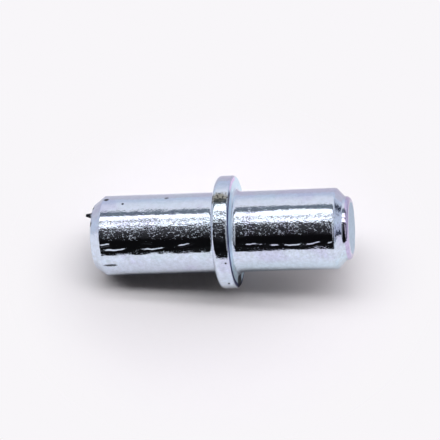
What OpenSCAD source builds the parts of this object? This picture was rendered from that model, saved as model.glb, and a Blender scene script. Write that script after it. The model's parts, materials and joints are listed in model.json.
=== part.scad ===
// Shelf support pin with a collar, for a cabinet side drilled with a row of shelf holes.
// It is one piece of zinc-plated steel: a peg that plugs into the side panel, a collar that
// stops against the panel, and a peg that carries the shelf.
//
// The pin's axis is the X axis. The origin is on it, in the plane of the collar's seat, so the
// panel peg runs to -X, and the collar and the shelf peg run to +X.

/* [Panel peg] */
// Diameter of the peg that plugs into the side panel
panel_peg_d = 5; // [4:0.1:8]
// Length from the collar's seat to the peg's end face
panel_peg_l = 7.8; // [5:0.1:20]
// Length of the cone that leads the peg into its hole, along the axis
panel_lead_l = 0.7; // [0.4:0.05:1.5]
// How far the cone narrows the peg, off its radius
panel_lead_depth = 0.5; // [0.3:0.05:1.2]
// Rounding where the peg's side meets the cone
panel_shoulder_r = 0.15; // [0.05:0.05:0.5]
// Rounding where the cone meets the end face
panel_end_r = 0.2; // [0.05:0.05:0.3]
// Fillet where the peg meets the collar's seat
panel_root_r = 0.25; // [0.05:0.05:0.4]

/* [Collar] */
// How far the collar stands out past the thicker peg
collar_lip = 1; // [0.8:0.1:3]
// Thickness of the collar, along the axis
collar_t = 1.1; // [0.8:0.1:3]
// Rounding of the rim on the panel side
rim_panel_r = 0.3; // [0.05:0.05:0.35]
// Rounding of the rim on the shelf side
rim_shelf_r = 0.2; // [0.05:0.05:0.35]

/* [Shelf peg] */
// Diameter of the peg that carries the shelf
shelf_peg_d = 5; // [4:0.1:8]
// Length from the collar's outer face to the peg's end face
shelf_peg_l = 7.1; // [5:0.1:20]
// Length of the cone at the peg's end, along the axis
shelf_lead_l = 0.85; // [0.4:0.05:1.5]
// How far the cone narrows the peg, off its radius
shelf_lead_depth = 0.7; // [0.3:0.05:1.2]
// Rounding where the peg's side meets the cone
shelf_shoulder_r = 0.3; // [0.05:0.05:0.5]
// Rounding where the cone meets the end face
shelf_end_r = 0.25; // [0.05:0.05:0.3]
// Fillet where the peg meets the collar's outer face
shelf_root_r = 0.4; // [0.05:0.05:0.4]

/* [Hidden] */

// Facets of a full circle on screen
$fn = 96;

// What an arc's radius is enlarged by, so that it crosses the faces it blends and never grazes them
hair = 0.0001;

// Bright zinc plating
zinc = [0.80, 0.83, 0.88];

panel_peg_r = panel_peg_d / 2;
shelf_peg_r = shelf_peg_d / 2;
rim_r = max(panel_peg_r, shelf_peg_r) + collar_lip;

panel_end_x = -panel_peg_l;
shelf_end_x = collar_t + shelf_peg_l;

// The pin's half section, from the panel peg's end to the shelf peg's. Each corner is
// [distance from the axis, place along the axis, radius of its rounding or fillet].
pin_corners = [
    [0, panel_end_x, 0],
    [panel_peg_r - panel_lead_depth, panel_end_x, panel_end_r],
    [panel_peg_r, panel_end_x + panel_lead_l, panel_shoulder_r],
    [panel_peg_r, 0, panel_root_r],
    [rim_r, 0, rim_panel_r],
    [rim_r, collar_t, rim_shelf_r],
    [shelf_peg_r, collar_t, shelf_root_r],
    [shelf_peg_r, shelf_end_x - shelf_lead_l, shelf_shoulder_r],
    [shelf_peg_r - shelf_lead_depth, shelf_end_x, shelf_end_r],
    [0, shelf_end_x, 0],
];

function point(corner) = [corner.x, corner.y];
function unit(v) = v / norm(v);

// Corner i of a closed outline, as [its point, the way back, the way on, its radius]
function at_corner(corners, i) =
    let (n = len(corners), here = point(corners[i]))
    [
        here,
        unit(point(corners[(i + n - 1) % n]) - here),
        unit(point(corners[(i + 1) % n]) - here),
        corners[i].z
    ];

// True where an outline that runs anticlockwise turns left, and so stands out
function stands_out(c) = cross(c[1], c[2]) < 0;
function is_fillet(c) = c[3] > 0 && !stands_out(c);

function half_angle(c) = acos(c[1] * c[2]) / 2;

// How far along each face from the corner its arc begins, and where the arc has its centre
function arc_reach(c) = c[3] / tan(half_angle(c));
function arc_centre(c) = c[0] + unit(c[1] + c[2]) * c[3] / sin(half_angle(c));

// The points that a corner gives the outline before its arc is cut: a fillet starts as a chord
function cut_points(c) =
    is_fillet(c) ? [c[0] + c[1] * arc_reach(c), c[0] + c[2] * arc_reach(c)] : [c[0]];

// What the rounding of an edge takes off, cut from a wedge that reaches past the corner
module edge_waste(c) {
    centre = arc_centre(c);
    corner = c[0] - centre;
    reach = arc_reach(c);
    translate(centre) difference() {
        scale(2) polygon([[0, 0], corner + c[1] * reach, corner, corner + c[2] * reach]);
        circle(c[3] + hair);
    }
}

module fillet_hollow(c) {
    translate(arc_centre(c)) circle(c[3] + hair);
}

// An outline given as [x, y, radius] corners, anticlockwise, with true arcs at its corners
module rounded_outline(corners) {
    all = [for (i = [0 : len(corners) - 1]) at_corner(corners, i)];
    difference() {
        polygon([for (c = all) each cut_points(c)]);
        for (c = all) {
            if (is_fillet(c)) fillet_hollow(c);
            else if (c[3] > 0) edge_waste(c);
        }
    }
}

module shelf_pin() {
    color(zinc) rotate([0, 90, 0]) rotate_extrude() rounded_outline(pin_corners);
}

shelf_pin();
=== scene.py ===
"""A zinc-plated steel shelf support pin, dressed round its CAD frame, and a small studio for it."""

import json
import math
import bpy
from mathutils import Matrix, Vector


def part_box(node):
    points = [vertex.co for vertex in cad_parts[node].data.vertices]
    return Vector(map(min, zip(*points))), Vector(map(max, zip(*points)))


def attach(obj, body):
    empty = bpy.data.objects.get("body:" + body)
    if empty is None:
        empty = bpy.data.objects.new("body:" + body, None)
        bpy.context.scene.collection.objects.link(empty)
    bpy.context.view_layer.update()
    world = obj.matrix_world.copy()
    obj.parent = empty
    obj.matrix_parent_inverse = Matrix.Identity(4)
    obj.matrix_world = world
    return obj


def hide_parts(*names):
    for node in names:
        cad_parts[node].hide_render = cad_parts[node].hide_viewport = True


bl_info = {
    "name": "Shelf Support Pin",
    "version": (1, 0, 0),
    "blender": (4, 5, 0),
    "location": "3D View > Sidebar > Shelf Pin",
    "description": "Turns a collared shelf pin, plates it in bright zinc and sets it in a studio",
    "category": "Object",
}

import bpy
from bpy.props import FloatProperty, FloatVectorProperty, IntProperty, PointerProperty
from mathutils import Matrix, Vector

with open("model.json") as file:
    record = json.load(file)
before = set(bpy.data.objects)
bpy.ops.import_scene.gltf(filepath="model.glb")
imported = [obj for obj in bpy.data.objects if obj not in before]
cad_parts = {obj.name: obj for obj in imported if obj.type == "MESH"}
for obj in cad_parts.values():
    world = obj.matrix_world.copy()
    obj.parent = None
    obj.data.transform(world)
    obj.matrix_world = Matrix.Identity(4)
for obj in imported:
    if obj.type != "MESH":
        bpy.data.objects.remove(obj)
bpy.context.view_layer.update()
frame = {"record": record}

MM = 0.001
NODE = "shelf_pin"
PIN_NAME = "plated_pin"
LOW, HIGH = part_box(NODE)
MOUNTS = {mount["name"]: mount for mount in frame["record"]["mounts"]}


def hex_colour(code):
    """An sRGB hex colour as linear red, green and blue."""
    channels = [int(code[i : i + 2], 16) / 255 for i in (1, 3, 5)]
    return tuple(c / 12.92 if c <= 0.04045 else ((c + 0.055) / 1.055) ** 2.4 for c in channels)


def rgba(colour):
    """A colour with full alpha, as a socket takes it."""
    return (*colour, 1.0)


def deselect_all():
    """Leaves edit mode and deselects everything."""
    if bpy.context.object and bpy.context.object.mode != "OBJECT":
        bpy.ops.object.mode_set(mode="OBJECT")
    bpy.ops.object.select_all(action="DESELECT")


def settings():
    """The sizes, finish and studio of this scene's pin."""
    return bpy.context.scene.shelf_pin


# ---------------------------------------------------------------- sizes, finish and studio


def length(name, description, default):
    """A property that holds a length in metres."""
    return FloatProperty(
        name=name, description=description, default=default, unit="LENGTH", precision=5, min=0.0
    )


def colour(name, description, code):
    """A property that holds a colour, given by its hex code."""
    return FloatVectorProperty(
        name=name,
        description=description,
        default=hex_colour(code),
        subtype="COLOR",
        min=0.0,
        max=1.0,
    )


class PinSizes(bpy.types.PropertyGroup):
    """Sizes of the pin, from its frame"""

    panel_peg_r: length(
        "Panel peg radius", "Radius of the peg in the panel", MOUNTS["panel_peg"]["dims"]["r_mm"] * MM
    )
    panel_lead_l: length("Panel lead length", "Length of the panel peg's end cone", 0.7 * MM)
    panel_lead_depth: length("Panel lead depth", "How far that cone narrows the peg", 0.5 * MM)
    panel_shoulder_r: length("Panel shoulder rounding", "Rounding from side to cone", 0.15 * MM)
    panel_end_r: length("Panel end rounding", "Rounding from cone to end face", 0.2 * MM)
    panel_root_r: length("Panel root fillet", "Fillet at the collar's seat", 0.25 * MM)
    rim_r: length("Collar radius", "Outer radius of the collar", HIGH.y)
    collar_t: length("Collar thickness", "Thickness of the collar", 1.1 * MM)
    rim_panel_r: length("Rim rounding, panel side", "Rounding of the rim by the seat", 0.3 * MM)
    rim_shelf_r: length("Rim rounding, shelf side", "Rounding of the rim's other edge", 0.2 * MM)
    shelf_peg_r: length(
        "Shelf peg radius", "Radius of the shelf's peg", MOUNTS["shelf_peg"]["dims"]["r_mm"] * MM
    )
    shelf_root_r: length("Shelf root fillet", "Fillet at the collar's outer face", 0.4 * MM)
    shelf_lead_l: length("Shelf lead length", "Length of the narrowed end", 0.85 * MM)
    shelf_shoulder_r: length("Shelf shoulder rounding", "Rounding from side to cone", 0.3 * MM)
    shelf_cone_l: length("Shelf cone length", "Length of the cone before the last narrow land", 0.47 * MM)
    shelf_cone_r: length("Shelf land radius", "Radius where the cone meets the land", 1.98 * MM)
    shelf_land_r: length("Shelf tip radius", "Radius of the land at the end, less its rounding", 1.92 * MM)
    shelf_cone_fillet: length("Land fillet", "Fillet where the cone meets the land", 0.1 * MM)
    shelf_end_r: length("Shelf end rounding", "Rounding from land to end face", 0.26 * MM)
    facets: IntProperty(name="Facets", description="Facets round the pin", default=320, min=24)
    ring_gap: length("Ring spacing", "Spacing of the rings along the pegs", 0.08 * MM)
    arc_steps: IntProperty(name="Arc steps", description="Rings in each rounding", default=7, min=2)


class PlatingFinish(bpy.types.PropertyGroup):
    """Look of the bright zinc plating"""

    zinc: colour("Zinc", "Bright zinc with a faint blue passivation", "#D6E0F0")
    lavender: colour("Lavender tint", "Where the passivation film is a little thicker", "#CCCEE8")
    cyan: colour("Cyan tint", "Where the passivation film is a little thinner", "#D0E1EE")
    ring_violet: colour("Ring tint", "The film on the ring round the shelf peg's end", "#CBC2E2")
    end_cyan: colour("End tint", "The film on the shelf peg's end face", "#B2C6D8")
    edge_lilac: colour("Edge tint", "The film along the top of the rim's edge", "#EBD8FA")
    # Painted shade: the dark blue laid on the rim's edge in front and below stands for the dark it mirrors
    painted_edge_shade: colour("Edge shade", "The plating where it is thin, along the rest of that edge", "#343D70")
    face: colour("Face tint", "The dull plating on the collar's outer face", "#DEF2FF")
    stain: colour("Stain", "Dull olive stain on the collar", "#8A8674")
    # This colour also paints the blotch of painted shade low on the collar's outer face
    dirt_and_shade: colour("Dirt", "Dark specks", "#1B1C22")
    roughness: FloatProperty(
        name="Roughness", description="Roughness of the plating", default=0.06, min=0.0, max=1.0
    )
    dull_roughness: FloatProperty(
        name="Dull roughness",
        description="Roughness of the collar's outer face and of the ends",
        default=0.45,
        min=0.0,
        max=1.0,
    )
    grain: length("Grain height", "Height of the crinkled plating grain", 0.010 * MM)
    grain_size: length("Grain size", "Width of one crinkle", 0.085 * MM)
    nodules: length("Nodule height", "Height of the fine nodules scattered over it", 0.010 * MM)
    nodule_size: length("Nodule size", "Width of those nodules", 0.085 * MM)
    drawn: length("Drawn line height", "Height of the lines drawn along the wire", 0.006 * MM)


class StudioStage(bpy.types.PropertyGroup):
    """Floor, lamps and camera"""

    floor: colour("Floor", "Pale floor", "#F8F5F9")
    backdrop: colour("Backdrop", "Pale surroundings", "#F8F6F9")
    room: colour("Room", "The room low down, as the metal mirrors it", "#D6DCE8")
    back_floor: colour("Floor at the back", "The floor at the back, as the metal mirrors it", "#D6D2DA")
    horizon: colour("Horizon", "Dark horizon beyond the shelf peg's end", "#1E2536")
    horizon_rise: FloatProperty(
        name="Horizon rise", description="Height of the dark horizon, as a share", default=-0.06
    )
    floor_near: length("Plain floor", "How far from the pin the floor is plain", 8 * MM)
    floor_far: length("Floor's end", "Where the floor has passed into the backdrop", 14 * MM)
    lamp_level: FloatProperty(name="Lamp level", description="Light of the lamps", default=4.25)
    diffuser_level: FloatProperty(
        name="Diffuser level", description="Brightness of the lamps in reflections", default=2.0
    )
    fill_level: FloatProperty(name="Fill level", description="Light of the surroundings", default=0.4)
    side_level: FloatProperty(
        name="Side level", description="Light of the surroundings at the shelf peg's end", default=3.0
    )
    camera_distance: length("Camera distance", "Camera to the collar's seat", 0.147)
    camera_azimuth: FloatProperty(
        name="Camera azimuth",
        description="Turn of the camera about the pin, from straight in front",
        default=math.radians(16.1),
        subtype="ANGLE",
    )
    camera_elevation: FloatProperty(
        name="Camera elevation",
        description="Rise of the camera over the pin's axis",
        default=math.radians(50.45),
        subtype="ANGLE",
    )
    camera_roll: FloatProperty(
        name="Axis slope",
        description="Slope of the pin's axis across the picture, rising to the right",
        default=math.radians(1.96),
        subtype="ANGLE",
    )
    camera_rise: length("Camera rise", "How far the camera looks above the collar's seat", 0.757 * MM)
    lens: FloatProperty(name="Lens", description="Focal length, mm", default=194.8, min=1.0)


class ShelfPinSettings(bpy.types.PropertyGroup):
    """Everything that can be changed"""

    sizes: PointerProperty(type=PinSizes)
    finish: PointerProperty(type=PlatingFinish)
    studio: PointerProperty(type=StudioStage)


# ---------------------------------------------------------------- materials

# Options that several nodes share
SMOOTH = {"interpolation_type": "SMOOTHSTEP"}
ADD = {"operation": "ADD"}
MULTIPLY = {"operation": "MULTIPLY"}
MAXIMUM = {"operation": "MAXIMUM"}
LENGTH = {"operation": "LENGTH"}
DOT_PRODUCT = {"operation": "DOT_PRODUCT"}
MIX_COLOURS = {"data_type": "RGBA"}
SHADE_COLOUR = {"data_type": "RGBA", "blend_type": "MULTIPLY"}
MIX_NUMBERS = {"data_type": "FLOAT"}

# Where the grain is coarsest and the nodules stand highest, in degrees up from the front
COARSE_ANGLE = 59.0

# Clouds that the finish is patterned by: how many to a mm, detail and roughness. A last number
# under 1 draws them out along the pin
CLOUDS = {
    "film": (0.4, 3.0, 0.55, 1.0),
    "mottle": (4.0, 4.0, 0.65, 1.0),
    "stain": (3.5, 4.0, 0.75, 1.0),
    "grime": (6.0, 2.0, 0.6, 1.0),
    "wander": (9.0, 1.0, 0.6, 1.0),
    "gloss": (1.3, 4.0, 0.65, 1.0),
    "crowd": (0.9, 3.0, 0.6, 1.0),
    "drawn": (4.0, 3.0, 0.6, 0.1),
}

# Zones of the finish, by their edges. An edge has what it is measured on, where the zone starts
# and where it is full, and the least and most it counts for if they aren't 0 and 1. Places are in
# mm: along the pin, back, up, and off the axis. A cloud runs from 0 to 1
ZONES = {
    # The passivation film is thick along the back of the top, most on the shelf peg, and thin
    # under that peg
    "thick_film": (("back", 0.3, 1.6), ("along", -4.0, 2.0, 0.3, 0.9)),
    "thick_patches": (("film", 0.5, 0.66, 0.0, 0.7),),
    "thin_film": (("up", 0.6, -0.4), ("along", 0.0, 2.0)),
    "thin_patches": (("film", 0.48, 0.34, 0.0, 0.4),),
    "shelf_ring": (("along", 7.92, 8.0), ("off_axis", 1.54, 1.64)),
    "shelf_end": (("along", 8.08, 8.16), ("off_axis", 1.64, 1.54)),
    "panel_end": (("along", -7.72, -7.78),),
    "collar_face": (("along", 1.04, 1.09), ("along", 1.6, 1.4), ("off_axis", 2.5, 2.8)),
    "rim_edge_top": (
        ("along", 1.02, 1.07),
        ("off_axis", 3.16, 3.23),
        ("back", 0.4, 0.9),
        ("back", 2.6, 2.1),
    ),
    # Painted shade: the rim's edge is coloured dark blue in front and below, for the dark it mirrors
    "painted_rim_edge_shade": (("along", 1.02, 1.07), ("off_axis", 3.16, 3.23), ("back", 0.7, 0.3)),
    "mottle_shade": (("mottle", 0.3, 0.7, 0.88, 1.07),),
    "plain_top": (("up", 0.3, 1.8, 0.0, 0.7),),
    "stained": (("stain_edge", 1.85, 0.95, 0.0, 0.85),),
    "grimy": (("stain_edge", 1.7, 1.2), ("grime", 0.53, 0.6, 0.0, 0.8)),
    # Specks stand in the middle of cells of 3.3 mm. Measured in cells, they come to 0.2 mm across
    "specks": (("cell", 0.03, 0.02),),
    # The grain is coarse along the upper front of the pegs and the rim, and fine on their ends
    "coarse": (
        ("facing", 0.95, 0.99),
        ("off_axis", 2.3, 2.45),
        ("off_axis", 2.8, 3.0, 1.0, 0.7),
    ),
    "grain_level": (("coarse", 0.0, 1.0, 0.42, 1.0),),
    "crowding": (("crowd", 0.35, 0.65, -0.04, 0.04),),
    "nodule": (("fleck", 0.56, 0.74), ("coarse", 0.0, 1.0, 0.12, 1.0)),
}

# The stain on top of the rim (mm)
STAIN_CENTRE = Vector((0.5, -0.1, 3.5))
STAIN_HALF_SIZES = (0.65, 0.45, 0.5)

# Dark specks, a scratch, a blotch of painted shade and the crumb: place along the axis (mm), place
# round it (degrees up from the front), distance off the axis, half length and half width (mm), darkness
MARKS = (
    (-6.87, 115.5, 2.5, 0.16, 0.15, 1.0),
    (-5.75, 103.0, 2.5, 0.09, 0.10, 1.0),
    (-3.05, 114.0, 2.5, 0.13, 0.14, 0.7),
    (-6.60, 5.5, 2.5, 0.45, 0.09, 0.9),
    (0.71, -12.6, 3.5, 0.07, 0.10, 0.9),
    # Painted shade: a dark blotch low on the collar's outer face, standing for the shadow on the floor
    # that it mirrors
    (1.1, -43.0, 3.05, 0.15, 0.7, 0.95),
    (-7.72, 110.0, 2.0, 0.12, 0.14, 0.9),
    (-7.75, 74.0, 1.98, 0.10, 0.17, 0.9),
    (-7.96, 95.0, 1.90, 0.33, 0.18, 1.0),
)

# Where a mark starts and where it is full, in its own half sizes
MARK_START, MARK_FULL = 1.2, 0.7

# How far the edges of the marks wander (mm), and how many cells with a speck there are to a mm
WANDER = 0.12
SPECK_CELLS = 0.3

# The least and the most roughness from patch to patch, as shares of the plating's own, the
# clouds between which it runs, and the roughness of dirt and of the painted shade
GLOSS_SHARES = (0.6, 1.8)
GLOSS_CLOUDS = (0.35, 0.7)
DIRT_AND_SHADE_ROUGHNESS = 0.5


def new_material(name):
    """A material with an empty node tree."""
    material = bpy.data.materials.new(name)
    material.use_nodes = True
    material.node_tree.nodes.clear()
    return material


def add_node(tree, kind, options=None, values=None, links=None):
    """Adds a node, sets its options and its sockets' values, and links sources into its sockets.

    A source is an output socket, or a node, which stands for its first output.
    """
    node = tree.nodes.new("ShaderNode" + kind)
    for name, value in (options or {}).items():
        setattr(node, name, value)
    for socket, value in (values or {}).items():
        node.inputs[socket].default_value = value
    for socket, source in (links or {}).items():
        output = source.outputs[0] if isinstance(source, bpy.types.Node) else source
        tree.links.new(output, node.inputs[socket])
    return node


def on_pin(along, angle, radius):
    """A place in mm: along the pin, degrees round it up from the front, and off its axis."""
    turn = math.radians(angle)
    return Vector((along, -radius * math.cos(turn), radius * math.sin(turn)))


def measure_pin(tree, finish):
    """The place of a point in mm, and what the zones of the finish are measured on."""
    place = add_node(tree, "TexCoord").outputs["Object"]
    per_mm = (1 / MM, 1 / MM, 1 / MM)
    mm = add_node(tree, "Mapping", values={"Scale": per_mm}, links={"Vector": place})
    along, back, up = add_node(tree, "SeparateXYZ", links={0: mm}).outputs
    across = add_node(tree, "VectorMath", MULTIPLY, {1: (0, 1, 1)}, {0: mm})
    off_axis = add_node(tree, "VectorMath", LENGTH, links={0: across}).outputs["Value"]
    coarse_way = {1: on_pin(0.0, COARSE_ANGLE, 1.0)}
    towards = add_node(tree, "VectorMath", DOT_PRODUCT, coarse_way, {0: mm}).outputs["Value"]
    facing = add_node(tree, "Math", {"operation": "DIVIDE"}, links={0: towards, 1: off_axis})
    measures = {"along": along, "back": back, "up": up, "off_axis": off_axis, "facing": facing}
    clouds = dict(
        CLOUDS,
        grain=(MM / finish.grain_size, 1.0, 0.5, 0.75),
        nodules=(MM / finish.nodule_size, 2.0, 0.6, 0.7),
    )
    for name, (scale, detail, roughness, draw) in clouds.items():
        drawn_out = add_node(tree, "Mapping", values={"Scale": (draw, 1, 1)}, links={"Vector": mm})
        values = {"Scale": scale, "Detail": detail, "Roughness": roughness}
        measures[name] = add_node(tree, "TexNoise", values=values, links={"Vector": drawn_out})
    return mm, measures


def zone(tree, measures, name):
    """How far a point lies in a zone of the finish: the product of the zone's edges."""
    share = None
    for measure, start, full, *counts in ZONES[name]:
        least, most = counts or (0.0, 1.0)
        values = {1: start, 2: full, 3: least, 4: most}
        edge = add_node(tree, "MapRange", SMOOTH, values, {0: measures[measure]})
        if share is None:
            share = edge
        else:
            share = add_node(tree, "Math", MULTIPLY, links={0: share, 1: edge})
    return share


def spread_from(tree, place, centre, half_sizes):
    """How far a place lies from a centre, in half sizes along X, Y and Z."""
    scale = Vector([1 / half for half in half_sizes])
    values = {"Location": -centre * scale, "Scale": scale}
    spread = add_node(tree, "Mapping", values=values, links={"Vector": place})
    return add_node(tree, "VectorMath", LENGTH, links={0: spread}).outputs["Value"]


def dirt_and_shade_marks(tree, mm, measures):
    """Where the scattered specks and the marks lie, the blotch of painted shade among them."""
    colour = measures["wander"].outputs["Color"]
    values = {1: (WANDER, WANDER, WANDER)}
    wander = add_node(tree, "VectorMath", {"operation": "MULTIPLY_ADD"}, values, {0: colour, 2: mm})
    cells = {"Scale": SPECK_CELLS}
    measures["cell"] = add_node(tree, "TexVoronoi", values=cells, links={"Vector": wander})
    dirt_and_shade_share = zone(tree, measures, "specks")
    for x, angle, off_axis, half_length, half_width, darkness in MARKS:
        # The wander moves everything by half its own size
        centre = on_pin(x, angle, off_axis) + Vector((WANDER, WANDER, WANDER)) / 2
        spread = spread_from(tree, wander, centre, (half_length, half_width, half_width))
        values = {1: MARK_START, 2: MARK_FULL, 4: darkness}
        mark = add_node(tree, "MapRange", SMOOTH, values, {0: spread})
        dirt_and_shade_share = add_node(tree, "Math", MAXIMUM, links={0: dirt_and_shade_share, 1: mark})
    return dirt_and_shade_share


def plating_relief(tree, finish, measures):
    """The crinkled grain, the fine nodules and the drawn lines, as a normal."""
    # The grain is a little longer along the pin than across it
    measures["coarse"] = zone(tree, measures, "coarse")
    grain_level = zone(tree, measures, "grain_level")
    grain = add_node(tree, "Math", MULTIPLY, links={0: measures["grain"], 1: grain_level})
    # The nodules are crowded in some patches and sparse in others, and drawn out along the pin
    crowding = zone(tree, measures, "crowding")
    measures["fleck"] = add_node(tree, "Math", ADD, links={0: crowding, 1: measures["nodules"]})
    nodules = zone(tree, measures, "nodule")
    values = {"Strength": 1.0, "Distance": finish.grain}
    normal = add_node(tree, "Bump", values=values, links={"Height": grain})
    for height, depth in ((nodules, finish.nodules), (measures["drawn"], finish.drawn)):
        values = {"Strength": 1.0, "Distance": depth}
        normal = add_node(tree, "Bump", values=values, links={"Height": height, "Normal": normal})
    return normal


def plating_material(finish):
    """Bright zinc on cold-formed steel, blue passivated.

    It mirrors its surroundings with a bluish cast. Its grain and nodules break the edge of every
    reflection, and lines drawn along the wire streak it. All patterns are in millimetres.
    """
    material = new_material("bright_zinc_plating")
    tree = material.node_tree
    mm, measures = measure_pin(tree, finish)

    # The passivation film drifts from blue to lavender and cyan over a few millimetres
    films = []
    for film, patches in (("thick_film", "thick_patches"), ("thin_film", "thin_patches")):
        links = {0: zone(tree, measures, film), 1: zone(tree, measures, patches)}
        films.append(add_node(tree, "Math", MAXIMUM, links=links))
    thick, thin = films
    values = {6: rgba(finish.zinc), 7: rgba(finish.lavender)}
    tint = add_node(tree, "Mix", MIX_COLOURS, values, {0: thick}).outputs[2]

    # It is violet on the ring round the shelf peg's end, and cyan on the face within. The collar's
    # outer face is pale, and the edge of its rim is lilac over the top. In front and below that edge
    # is dark blue, a painted shade that stands for the dark the edge mirrors
    shelf_end = zone(tree, measures, "shelf_end")
    collar_face = zone(tree, measures, "collar_face")
    coats = (
        (thin, finish.cyan),
        (zone(tree, measures, "shelf_ring"), finish.ring_violet),
        (shelf_end, finish.end_cyan),
        (collar_face, finish.face),
        (zone(tree, measures, "rim_edge_top"), finish.edge_lilac),
        (zone(tree, measures, "painted_rim_edge_shade"), finish.painted_edge_shade),
    )
    for share, colour in coats:
        tint = add_node(tree, "Mix", MIX_COLOURS, {7: rgba(colour)}, {0: share, 6: tint}).outputs[2]

    # Fine mottling of the plating, about a quarter of a millimetre across, plainer on top
    links = {0: zone(tree, measures, "plain_top"), 2: zone(tree, measures, "mottle_shade")}
    mottle = add_node(tree, "Mix", MIX_NUMBERS, {3: 1.0}, links)
    tint = add_node(tree, "Mix", SHADE_COLOUR, {0: 1.0}, {6: tint, 7: mottle}).outputs[2]

    # A dull olive stain on top of the rim with darker dirt in it, then the specks and marks, among them a
    # blotch of painted shade
    from_stain = spread_from(tree, mm, STAIN_CENTRE, STAIN_HALF_SIZES)
    links = {0: from_stain, 1: measures["stain"]}
    measures["stain_edge"] = add_node(tree, "Math", ADD, links=links)
    dirt_and_shade_share = dirt_and_shade_marks(tree, mm, measures)
    coats = (
        (zone(tree, measures, "stained"), finish.stain),
        (zone(tree, measures, "grimy"), finish.dirt_and_shade),
        (dirt_and_shade_share, finish.dirt_and_shade),
    )
    for share, colour in coats:
        tint = add_node(tree, "Mix", MIX_COLOURS, {7: rgba(colour)}, {0: share, 6: tint}).outputs[2]

    # Gloss varies from patch to patch. The collar's outer face and the ends have little, and
    # dirt and the painted shade have less
    least, most = GLOSS_SHARES
    values = {
        1: GLOSS_CLOUDS[0],
        2: GLOSS_CLOUDS[1],
        3: finish.roughness * least,
        4: finish.roughness * most,
    }
    rough = add_node(tree, "MapRange", SMOOTH, values, {0: measures["gloss"]})
    ends = add_node(
        tree, "Math", MAXIMUM, links={0: shelf_end, 1: zone(tree, measures, "panel_end")}
    )
    dull = add_node(tree, "Math", MAXIMUM, links={0: collar_face, 1: ends})
    for share, level in ((dull, finish.dull_roughness), (dirt_and_shade_share, DIRT_AND_SHADE_ROUGHNESS)):
        rough = add_node(tree, "Mix", MIX_NUMBERS, {3: level}, {0: share, 2: rough})

    normal = plating_relief(tree, finish, measures)
    links = {"Base Color": tint, "Roughness": rough, "Normal": normal}
    shader = add_node(tree, "BsdfPrincipled", values={"Metallic": 1.0}, links=links)
    add_node(tree, "OutputMaterial", links={"Surface": shader})
    return material


# ---------------------------------------------------------------- the pin

# Rings on each end face of the half section
FACE_RINGS = 14

# Relief that is pressed into the whole pin or into the worn strip: the size of a cloud along X, Y
# and Z, and its depth. The waves come from drawing the wire, and the peel from plating
WAVES = ((5 * MM, 0.7 * MM, 0.7 * MM), 0.016 * MM)
PEEL = ((0.45 * MM, 0.3 * MM, 0.3 * MM), 0.008 * MM)
WEAR = ((1.1 * MM, 0.6 * MM, 0.6 * MM), 0.03 * MM)

# Where the pegs are worn from rolling, in degrees up from the front, and off the axis
WORN_ANGLE = 33.0
WORN_HALF_WIDTH = 11.0
WORN_RADII = (2.35 * MM, 2.7 * MM)

# Dents from feeding and tumbling: place along the axis (mm), place round it (degrees up from
# the front), slant (degrees per mm), half length (mm), half width (mm), share of the full depth
DENTS = (
    (-6.75, 38, 0, 0.40, 0.09, 1.3),
    (-6.1, 30, 1, 0.90, 0.09, 0.9),
    (-4.2, 40, 0, 0.55, 0.08, 0.6),
    (-3.7, 30, 1, 0.90, 0.08, 0.8),
    (-1.76, 35, 6, 0.65, 0.08, 1.0),
    (-1.1, 47, 0, 0.12, 0.28, 0.9),
    (2.35, 32, -1, 0.72, 0.065, 0.65),
    (3.75, 30, -1, 0.32, 0.09, 0.8),
    (4.75, 29, 1, 0.62, 0.075, 0.7),
    (6.15, 31, 3, 0.55, 0.065, 0.7),
    (7.15, 31, 0, 0.20, 0.08, 0.6),
    (0.45, 36, 0, 0.12, 0.16, 0.8),
    (0.75, 46, 0, 0.10, 0.25, 0.7),
)
DENT_DEPTH = 0.045 * MM

# How steep a dent's walls are, how many half sizes squared out it ends, and the middle of the
# end faces, which has no dents
DENT_STEEPNESS = 1.5
DENT_END = 6
CENTRE_RADIUS = 0.5 * MM

# A crumb that sticks to the edge of the panel peg's end: place along the axis (mm), degrees up
# from the front and distance off the axis (mm), half width (mm), length, and how blunt it is
CRUMB_PLACE = (-7.8, 95.0, 1.90)
CRUMB_HALF_WIDTH = 0.13
CRUMB_LENGTH = 0.33 * MM
CRUMB_BLUNTNESS = 1.8

# Steps that the weights of a vertex group are rounded to
WEIGHT_LEVELS = 50


def place_first_vertex(name, at):
    """Starts a mesh with one vertex, at a place in the XZ plane, and leaves it in edit mode."""
    deselect_all()
    bpy.ops.mesh.primitive_plane_add(size=MM, location=(0, 0, 0))
    piece = bpy.context.object
    piece.name = piece.data.name = name
    bpy.ops.object.mode_set(mode="EDIT")
    bpy.ops.mesh.select_mode(type="VERT")
    bpy.ops.mesh.select_all(action="SELECT")
    bpy.ops.mesh.merge(type="CENTER")
    bpy.ops.transform.translate(value=at)
    return piece


def draw_line(start, end, steps):
    """Extrudes the selected vertex along a straight line."""
    bpy.ops.mesh.extrude_repeat(steps=steps, offset=(end - start) / steps)


def draw_arc(centre, turn, steps):
    """Spins the selected vertex about a centre in the XZ plane."""
    bpy.ops.mesh.spin(steps=steps, angle=turn, center=centre, axis=(0, 1, 0))


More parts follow.
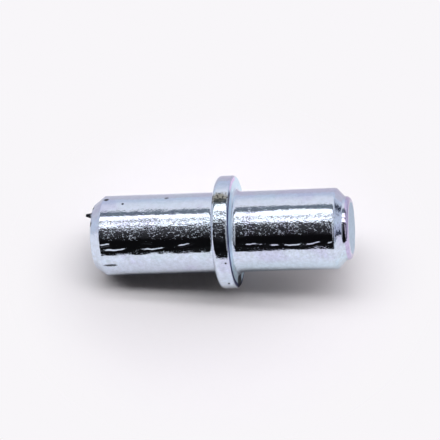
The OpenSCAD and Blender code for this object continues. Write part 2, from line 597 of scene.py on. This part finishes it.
def pin_corners(sizes):
    """The corners of the pin's half section: place along the axis, radius, rounding, line steps."""
    panel_end, shelf_end = LOW.x, HIGH.x

    def rings(span):
        return max(1, round(span / sizes.ring_gap))

    panel_side = -panel_end - sizes.panel_lead_l
    shelf_side = shelf_end - sizes.shelf_lead_l - sizes.collar_t
    shelf_cone_end = shelf_end - sizes.shelf_lead_l + sizes.shelf_cone_l
    return [
        (panel_end, 0, 0, 0),
        (panel_end, sizes.panel_peg_r - sizes.panel_lead_depth, sizes.panel_end_r, FACE_RINGS),
        (panel_end + sizes.panel_lead_l, sizes.panel_peg_r, sizes.panel_shoulder_r, 8),
        (0, sizes.panel_peg_r, sizes.panel_root_r, rings(panel_side)),
        (0, sizes.rim_r, sizes.rim_panel_r, 6),
        (sizes.collar_t, sizes.rim_r, sizes.rim_shelf_r, 10),
        (sizes.collar_t, sizes.shelf_peg_r, sizes.shelf_root_r, 6),
        (shelf_end - sizes.shelf_lead_l, sizes.shelf_peg_r, sizes.shelf_shoulder_r, rings(shelf_side)),
        (shelf_cone_end, sizes.shelf_cone_r, sizes.shelf_cone_fillet, 8),
        (shelf_end, sizes.shelf_land_r, sizes.shelf_end_r, 4),
        (shelf_end, 0, 0, FACE_RINGS),
    ]


def draw_half_section(corners, arc_steps):
    """Draws the half section from one end of the axis to the other, with an arc at each corner."""
    points = [Vector((x, 0, r)) for x, r, _, _ in corners]
    here = points[0]
    for i in range(1, len(corners)):
        steps = corners[i][3]
        rounding = corners[i][2]
        if i == len(corners) - 1:
            draw_line(here, points[i], steps)
            break
        arrive = (points[i] - points[i - 1]).normalized()
        leave = (points[i + 1] - points[i]).normalized()
        turn = arrive.angle(leave)
        reach = rounding * math.tan(turn / 2)
        arc_start = points[i] - arrive * reach
        draw_line(here, arc_start, steps)
        side = arrive.cross(leave).y
        inward = (leave - arrive).normalized()
        centre = points[i] + inward * rounding / math.cos(turn / 2)
        draw_arc(centre, math.copysign(turn, -side), arc_steps)
        here = points[i] + leave * reach


def turn_pin(sizes):
    """Draws the pin's half section and spins it about the axis."""
    corners = pin_corners(sizes)
    pin = place_first_vertex(PIN_NAME, Vector((corners[0][0], 0, corners[0][1])))
    draw_half_section(corners, sizes.arc_steps)
    bpy.ops.mesh.select_all(action="SELECT")
    bpy.ops.mesh.spin(steps=sizes.facets, angle=math.tau, center=(0, 0, 0), axis=(1, 0, 0))
    bpy.ops.mesh.select_all(action="SELECT")
    bpy.ops.mesh.remove_doubles(threshold=MM / 1e4)
    bpy.ops.mesh.normals_make_consistent(inside=False)
    bpy.ops.object.mode_set(mode="OBJECT")
    bpy.ops.object.shade_smooth()
    return pin


def apply_displace(pin, name, options):
    """Moves the pin's surface by a Displace modifier, along its normals if not told otherwise."""
    deselect_all()
    pin.select_set(True)
    bpy.context.view_layer.objects.active = pin
    bpy.ops.object.modifier_add(type="DISPLACE")
    relief = pin.modifiers[-1]
    relief.name = name
    for option, value in options.items():
        setattr(relief, option, value)
    bpy.ops.object.modifier_apply(modifier=name)


def press_relief(pin, name, size, depth, group=""):
    """Sinks clouds of a given size, along X, Y and Z, into the pin's surface."""
    clouds = bpy.data.textures.new(name, "CLOUDS")
    clouds.noise_scale = 1.0
    clouds.noise_depth = 0
    deselect_all()
    bpy.ops.object.empty_add()
    gauge = bpy.context.object
    gauge.scale = size
    bpy.context.view_layer.update()
    apply_displace(
        pin,
        name,
        {
            "texture": clouds,
            "texture_coords": "OBJECT",
            "texture_coords_object": gauge,
            "mid_level": 1.0,
            "strength": depth,
            "vertex_group": group,
        },
    )
    bpy.data.objects.remove(gauge)
    bpy.data.textures.remove(clouds)


def weigh(pin, name, weight_at):
    """Makes a vertex group whose weights come from a function of a vertex's place."""
    group = pin.vertex_groups.new(name=name)
    levels = {}
    for vertex in pin.data.vertices:
        level = round(weight_at(vertex.co) * WEIGHT_LEVELS)
        if level > 0:
            levels.setdefault(level, []).append(vertex.index)
    for level, indices in levels.items():
        group.add(indices, level / WEIGHT_LEVELS, "REPLACE")


def rise_of(co):
    """How far round the pin a place lies, in degrees up from the front."""
    return math.degrees(math.atan2(co.z, -co.y))


def dent_weight(co):
    """How deep a place lies in the dents, as a share of the full depth."""
    radius = math.hypot(co.y, co.z)
    if radius < CENTRE_RADIUS:
        return 0.0
    deepest = 0.0
    for x, angle, slant, half_length, half_width, depth in DENTS:
        past = co.x / MM - x
        # A dent wavers by under a degree as it runs on, and is deeper here and shallower there
        waver = 0.6 * math.sin(5 * past + angle) + 0.25 * math.sin(13 * past)
        off = (rise_of(co) - angle - slant * past - waver + 180) % 360 - 180
        spread = (past / half_length) ** 4 + (math.radians(off) * radius / MM / half_width) ** 2
        if spread < DENT_END:
            broken = 0.75 + 0.25 * math.sin(11 * past + 2 * angle) * math.sin(4 * past)
            deepest = max(deepest, depth * broken * math.exp(-spread * DENT_STEEPNESS))
    return deepest


def wear_weight(co):
    """The share of rolling wear at a place: a strip along the pegs, a third of the way up in front."""
    if not WORN_RADII[0] < math.hypot(co.y, co.z) < WORN_RADII[1]:
        return 0.0
    off = abs(rise_of(co) - WORN_ANGLE) / WORN_HALF_WIDTH
    return max(0.0, 1 - off * off)


def crumb_weight(co):
    """How far a place is drawn out into the crumb, as a share of the crumb's length."""
    off = (co / MM - on_pin(*CRUMB_PLACE)).length / CRUMB_HALF_WIDTH
    return min(1.0, max(0.0, CRUMB_BLUNTNESS * (1 - off**4)))


class SHELFPIN_OT_turn_pin(bpy.types.Operator):
    """Turn the pin, give it the marks of forming and plating, and plate it in bright zinc"""

    bl_idname = "shelf_pin.turn_pin"
    bl_label = "Turn the pin"

    def execute(self, context):
        sizes, finish = settings().sizes, settings().finish
        pin = turn_pin(sizes)
        press_relief(pin, "drawn_waves", *WAVES)
        press_relief(pin, "plating_peel", *PEEL)
        weigh(pin, "worn", wear_weight)
        press_relief(pin, "wear", *WEAR, group="worn")
        weigh(pin, "dents", dent_weight)
        sunk = {"vertex_group": "dents", "mid_level": 0.0, "strength": -DENT_DEPTH}
        apply_displace(pin, "dents", sunk)
        weigh(pin, "crumb", crumb_weight)
        drawn_out = {"vertex_group": "crumb", "mid_level": 0.0, "strength": -CRUMB_LENGTH}
        apply_displace(pin, "crumb", {"direction": "X", **drawn_out})
        pin.vertex_groups.clear()
        pin.data.materials.append(plating_material(finish))
        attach(pin, "root")
        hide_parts(NODE)
        return {"FINISHED"}


# ---------------------------------------------------------------- the studio

# The floor, a round card (m)
FLOOR_RADIUS = 1.5
FLOOR_SIDES = 96
FLOOR_GAP = 0.002 * MM

# Height of the lamps over the pin, half their length along it, and the height of the cards over
# them (m)
LAMP_HEIGHT = 0.3
LAMP_HALF_WIDTH = 0.32
OVER_LAMPS = LAMP_HEIGHT + 0.001

WHITE = (1.0, 1.0, 1.0)

# How the surroundings change, in shares of a direction's length: where their light grows towards
# the shelf peg's end, where the dark horizon starts at that end, how it leans, how it fades in
# from above and below, and where the backdrop passes into the room further down
SIDE_LIGHT = (0.3, 0.9)
HORIZON_SIDE = (0.6, 0.8)
HORIZON_LEAN = (0.0, -0.25, 1.0)
HORIZON_WIDTH = (0.11, 0.04)
ROOM_HEIGHT = (0.65, 0.15)

# The camera's sensor (mm), and the nearest and farthest that it sees (m)
SENSOR_WIDTH = 36.0
CAMERA_CLIP = (0.001, 10.0)


def floor_lean(sizes):
    """The lean and depth of a floor that the pin lies on, by the panel peg's shoulder and the rim."""
    slope = math.atan2(sizes.panel_lead_depth, sizes.panel_lead_l)
    shoulder = Vector(
        (
            LOW.x + sizes.panel_lead_l + sizes.panel_shoulder_r * math.tan(slope / 2),
            0,
            sizes.panel_shoulder_r - sizes.panel_peg_r,
        )
    )
    rim = Vector((sizes.rim_panel_r, 0, sizes.rim_panel_r - sizes.rim_r))
    across = rim - shoulder
    spare = sizes.rim_panel_r - sizes.panel_shoulder_r
    lean = math.asin(spare / across.length) + math.atan2(-across.z, across.x)
    down = Vector((-math.sin(lean), 0, -math.cos(lean)))
    return lean, rim.dot(down) + sizes.rim_panel_r


def floor_material(studio):
    """Matt white card. A little way from the pin it passes into the surroundings' own colour."""
    material = new_material("matt_white_card")
    tree = material.node_tree
    place = add_node(tree, "TexCoord").outputs["Object"]
    rays = add_node(tree, "LightPath").outputs
    mirrored = rays["Is Glossy Ray"]

    distance = add_node(tree, "VectorMath", LENGTH, links={0: place}).outputs["Value"]
    values = {1: studio.floor_near, 2: studio.floor_far}
    far = add_node(tree, "MapRange", SMOOTH, values, {0: distance})
    seen = add_node(tree, "Math", MAXIMUM, links={0: rays["Is Camera Ray"], 1: mirrored})
    blend = add_node(tree, "Math", MULTIPLY, links={0: seen, 1: far})
    card = add_node(tree, "BsdfDiffuse", values={"Color": rgba(studio.floor), "Roughness": 0.0})

    # The metal mirrors a duller floor behind it
    back = add_node(tree, "SeparateXYZ", links={0: place}).outputs["Y"]
    values = {1: 0.0, 2: studio.floor_near}
    behind = add_node(tree, "MapRange", SMOOTH, values, {0: back, 4: mirrored})
    values = {6: rgba(studio.backdrop), 7: rgba(studio.back_floor)}
    surroundings = add_node(tree, "Mix", MIX_COLOURS, values, {0: behind}).outputs[2]
    haze = add_node(tree, "Emission", values={"Strength": 1.0}, links={"Color": surroundings})
    mix = add_node(tree, "MixShader", links={0: blend, 1: card, 2: haze})

    # Light that the metal would throw back on the floor is left out, to keep the shadow deep
    options = {"operation": "MULTIPLY", "use_clamp": True}
    links = {0: mirrored, 1: rays["Diffuse Depth"]}
    thrown_back = add_node(tree, "Math", options, links=links)
    unlit = add_node(tree, "Emission", values={"Strength": 0.0})
    mix = add_node(tree, "MixShader", links={0: thrown_back, 1: mix, 2: unlit})
    add_node(tree, "OutputMaterial", links={"Surface": mix})
    return material


def lay_floor(sizes, studio):
    """Lays a round card that leans as the pin lies on it."""
    deselect_all()
    bpy.ops.mesh.primitive_circle_add(vertices=FLOOR_SIDES, radius=FLOOR_RADIUS, fill_type="NGON")
    floor = bpy.context.object
    floor.name = floor.data.name = "floor"
    lean, depth = floor_lean(sizes)
    drop = Matrix.Translation((0, 0, -depth - FLOOR_GAP))
    floor.data.transform(Matrix.Rotation(lean, 4, "Y") @ drop)
    floor.data.materials.append(floor_material(studio))


def card_material(name, colour, foot_level, head_level, foot_height=0.0, head_height=1.0):
    """A card that glows, from a level at one height to a level at another."""
    material = new_material(name)
    tree = material.node_tree
    place = add_node(tree, "TexCoord").outputs["Object"]
    height = add_node(tree, "SeparateXYZ", links={0: place}).outputs["Z"]
    values = {1: foot_height, 2: head_height, 3: foot_level, 4: head_level}
    strength = add_node(tree, "MapRange", values=values, links={0: height})
    values = {"Color": rgba(colour)}
    glow = add_node(tree, "Emission", values=values, links={"Strength": strength})
    add_node(tree, "OutputMaterial", links={"Surface": glow})
    return material


def stand_card(name, foot, head, sides, material, blocks_light=False):
    """A card from its foot to its head, given in the YZ plane, and between two places in X.

    It shows in reflections alone. One that blocks light keeps it off the pin and the floor too.
    """
    deselect_all()
    bpy.ops.mesh.primitive_plane_add(size=2.0)
    card = bpy.context.object
    card.name = card.data.name = name
    left, right = sides
    rise = (head - foot) / 2
    middle = (head + foot) / 2
    card.data.transform(
        Matrix(
            (
                ((right - left) / 2, 0, 0, (right + left) / 2),
                (0, rise.y, 0, middle.y),
                (0, rise.z, 0, middle.z),
                (0, 0, 0, 1),
            )
        )
    )
    card.data.materials.append(material)
    card.visible_camera = False
    if not blocks_light:
        card.visible_diffuse = False
        card.visible_shadow = False


def overhead(angle, height=LAMP_HEIGHT):
    """The place in the YZ plane, at a height, that the pin sees at an angle up from the front."""
    return Vector((0, -height / math.tan(math.radians(angle)), height))


# Lamps, and their diffusers as the metal mirrors them: the edges of what hangs overhead, in
# degrees up from the front as seen from the pin, and its two ends along X (m)
LAMPS = (("front", 79.0, 91.3), ("back", 95.6, 102.6))
DIFFUSERS = (
    ("front_left", 78.2, 88.8, (-0.25, -0.055)),
    ("front_right", 74.0, 88.8, (-0.055, 0.25)),
    ("back_left", 95.8, 109.4, (-0.25, -0.055)),
    ("back_right", 95.8, 108.0, (-0.055, 0.25)),
)

# Finishes of the cards: colour, brightness at the foot and at the head, and their heights (m)
CARD_FINISHES = {
    "black_card": (WHITE, 0.01, 0.01),
    "dim_room": ((1.0, 0.94, 0.98), 0.005, 0.08, 0.13, 0.27),
    "grey_card": ((0.8, 0.9, 1.0), 0.24, 0.24),
    "pale_card": (WHITE, 0.4, 0.75, 0.04, 0.2),
}

# Cards round the pin: foot and head, the two ends along X (m), finish, and if they block light.
# Two in front make the dark bands, one fills the seam between the lamps, one darkens the lowest
# strip in front, one hangs behind the lamps, and a pale one stands by the shelf peg's end
FRONT_FOOT = Vector((0, -0.28, -0.005))
CARDS = (
    ("card_front_left", FRONT_FOOT, overhead(78.2), (-0.7, -0.05), "dim_room", True),
    ("card_front_right", FRONT_FOOT, overhead(74.0), (-0.06, 0.7), "dim_room", True),
    (
        "seam_card",
        overhead(88.5, OVER_LAMPS),
        overhead(96.5, OVER_LAMPS),
        (-0.5, 0.5),
        "black_card",
        True,
    ),
    (
        "low_card",
        Vector((0, -0.09, -0.0038)),
        Vector((0, -0.1, 0.02)),
        (-0.2, 0.2),
        "black_card",
        False,
    ),
    (
        "ceiling_card",
        overhead(106.0, OVER_LAMPS),
        overhead(126.0, OVER_LAMPS),
        (-0.5, 0.5),
        "grey_card",
        True,
    ),
    (
        "pale_card",
        Vector((0, -0.12, 0.02)),
        Vector((0, -0.1, 0.2)),
        (0.07, 0.2),
        "pale_card",
        False,
    ),
)


def hang_lamp(name, low_angle, high_angle, studio):
    """A lamp overhead, between two angles up from the front. It isn't seen in reflections."""
    near, far = overhead(low_angle), overhead(high_angle)
    light = bpy.data.lights.new(name, "AREA")
    light.shape = "RECTANGLE"
    light.size = 2 * LAMP_HALF_WIDTH
    light.size_y = far.y - near.y
    light.energy = studio.lamp_level * light.size * light.size_y * math.pi
    lamp = bpy.data.objects.new(name, light)
    lamp.location = (near + far) / 2
    lamp.visible_glossy = False
    bpy.context.collection.objects.link(lamp)


def light_surroundings(studio):
    """A pale room. Its light comes mostly from the shelf peg's end, where it has a dark horizon."""
    world = bpy.data.worlds.new("pale_surroundings")
    world.use_nodes = True
    tree = world.node_tree
    tree.nodes.clear()
    rays = add_node(tree, "LightPath").outputs
    mirrored = rays["Is Glossy Ray"]
    way = add_node(tree, "TexCoord").outputs["Generated"]
    ways = add_node(tree, "SeparateXYZ", links={0: way}).outputs

    # What is seen has its own colour, and what lights the scene has the fill's level
    seen = add_node(tree, "Math", MAXIMUM, links={0: rays["Is Camera Ray"], 1: mirrored})
    seen = add_node(tree, "Math", MAXIMUM, links={0: seen, 1: rays["Is Transmission Ray"]})
    start, full = SIDE_LIGHT
    values = {1: start, 2: full, 3: studio.fill_level, 4: studio.side_level}
    fill = add_node(tree, "MapRange", SMOOTH, values, {0: ways["X"]})
    level = add_node(tree, "MapRange", values={4: 1.0}, links={0: seen, 3: fill})

    # The horizon's edge rises towards the back
    start, full = HORIZON_SIDE
    to_side = add_node(tree, "MapRange", SMOOTH, {1: start, 2: full}, {0: ways["X"]})
    rise = add_node(tree, "VectorMath", DOT_PRODUCT, {1: HORIZON_LEAN}, {0: way}).outputs["Value"]
    values = {1: studio.horizon_rise}
    off_horizon = add_node(tree, "Math", {"operation": "SUBTRACT"}, values, {0: rise})
    off_horizon = add_node(tree, "Math", {"operation": "ABSOLUTE"}, links={0: off_horizon})
    start, full = HORIZON_WIDTH
    near_horizon = add_node(tree, "MapRange", SMOOTH, {1: start, 2: full}, {0: off_horizon})
    dark = add_node(tree, "Math", MULTIPLY, links={0: to_side, 1: near_horizon})
    dark = add_node(tree, "Math", MULTIPLY, links={0: dark, 1: mirrored})

    # Low down the metal mirrors the room, and higher up the backdrop
    start, full = ROOM_HEIGHT
    low = add_node(tree, "MapRange", SMOOTH, {1: start, 2: full}, {0: ways["Z"], 4: mirrored})
    values = {6: rgba(studio.backdrop), 7: rgba(studio.room)}
    room = add_node(tree, "Mix", MIX_COLOURS, values, {0: low}).outputs[2]
    values = {7: rgba(studio.horizon)}
    room = add_node(tree, "Mix", MIX_COLOURS, values, {0: dark, 6: room}).outputs[2]
    backdrop = add_node(tree, "Background", links={"Color": room, "Strength": level})
    add_node(tree, "OutputWorld", links={"Surface": backdrop})
    bpy.context.scene.world = world


def set_camera(studio):
    """Aims the camera at the pin, so that the pin's axis rises to the right at the given slope."""
    azimuth, elevation = studio.camera_azimuth, studio.camera_elevation
    back = Vector(
        (
            math.cos(elevation) * math.sin(azimuth),
            -math.cos(elevation) * math.cos(azimuth),
            math.sin(elevation),
        )
    )
    along = (Vector((1, 0, 0)) - back * back.x).normalized()
    over = back.cross(along)
    roll = studio.camera_roll
    right = along * math.cos(roll) - over * math.sin(roll)
    up = along * math.sin(roll) + over * math.cos(roll)
    turn = Matrix((right, up, back)).transposed().to_4x4()
    camera = bpy.data.objects.new("camera", bpy.data.cameras.new("camera"))
    camera.data.lens = studio.lens
    camera.data.sensor_width = SENSOR_WIDTH
    camera.data.clip_start, camera.data.clip_end = CAMERA_CLIP
    place = back * studio.camera_distance + up * studio.camera_rise
    camera.matrix_world = Matrix.Translation(place) @ turn
    bpy.context.collection.objects.link(camera)
    bpy.context.scene.camera = camera


class SHELFPIN_OT_set_studio(bpy.types.Operator):
    """Lay the floor, hang the lamps, stand the cards round the pin and aim the camera"""

    bl_idname = "shelf_pin.set_studio"
    bl_label = "Set the studio"

    def execute(self, context):
        sizes, studio = settings().sizes, settings().studio
        lay_floor(sizes, studio)
        for name, low, high in LAMPS:
            hang_lamp("lamp_" + name, low, high, studio)
        glow = studio.diffuser_level
        diffuser = card_material("lamp_diffuser", WHITE, glow, glow)
        for name, low, high, sides in DIFFUSERS:
            stand_card("diffuser_" + name, overhead(low), overhead(high), sides, diffuser)
        finishes = {name: card_material(name, *look) for name, look in CARD_FINISHES.items()}
        for name, foot, head, sides, finish, blocks_light in CARDS:
            stand_card(name, foot, head, sides, finishes[finish], blocks_light)
        light_surroundings(studio)
        set_camera(studio)
        return {"FINISHED"}


class SHELFPIN_PT_panel(bpy.types.Panel):
    """Sizes, finish and studio of the shelf pin"""

    bl_label = "Shelf Pin"
    bl_idname = "SHELFPIN_PT_panel"
    bl_space_type = "VIEW_3D"
    bl_region_type = "UI"
    bl_category = "Shelf Pin"

    def draw(self, context):
        for heading, group in (
            ("Sizes", context.scene.shelf_pin.sizes),
            ("Finish", context.scene.shelf_pin.finish),
            ("Studio", context.scene.shelf_pin.studio),
        ):
            box = self.layout.box()
            box.label(text=heading)
            for name in group.__annotations__:
                box.prop(group, name)
        for operator in OPERATORS:
            self.layout.operator(operator.bl_idname)


OPERATORS = (SHELFPIN_OT_turn_pin, SHELFPIN_OT_set_studio)
CLASSES = (PinSizes, PlatingFinish, StudioStage, ShelfPinSettings, *OPERATORS, SHELFPIN_PT_panel)


def register():
    """Registers the classes and gives the scene its settings."""
    for cls in CLASSES:
        bpy.utils.register_class(cls)
    bpy.types.Scene.shelf_pin = PointerProperty(type=ShelfPinSettings)


def unregister():
    """Takes the settings and the classes away again."""
    del bpy.types.Scene.shelf_pin
    for cls in reversed(CLASSES):
        bpy.utils.unregister_class(cls)


def main():
    register()
    bpy.context.scene.view_settings.view_transform = "Standard"
    bpy.ops.shelf_pin.turn_pin()
    bpy.ops.shelf_pin.set_studio()


if __name__ == "__main__":
    main()
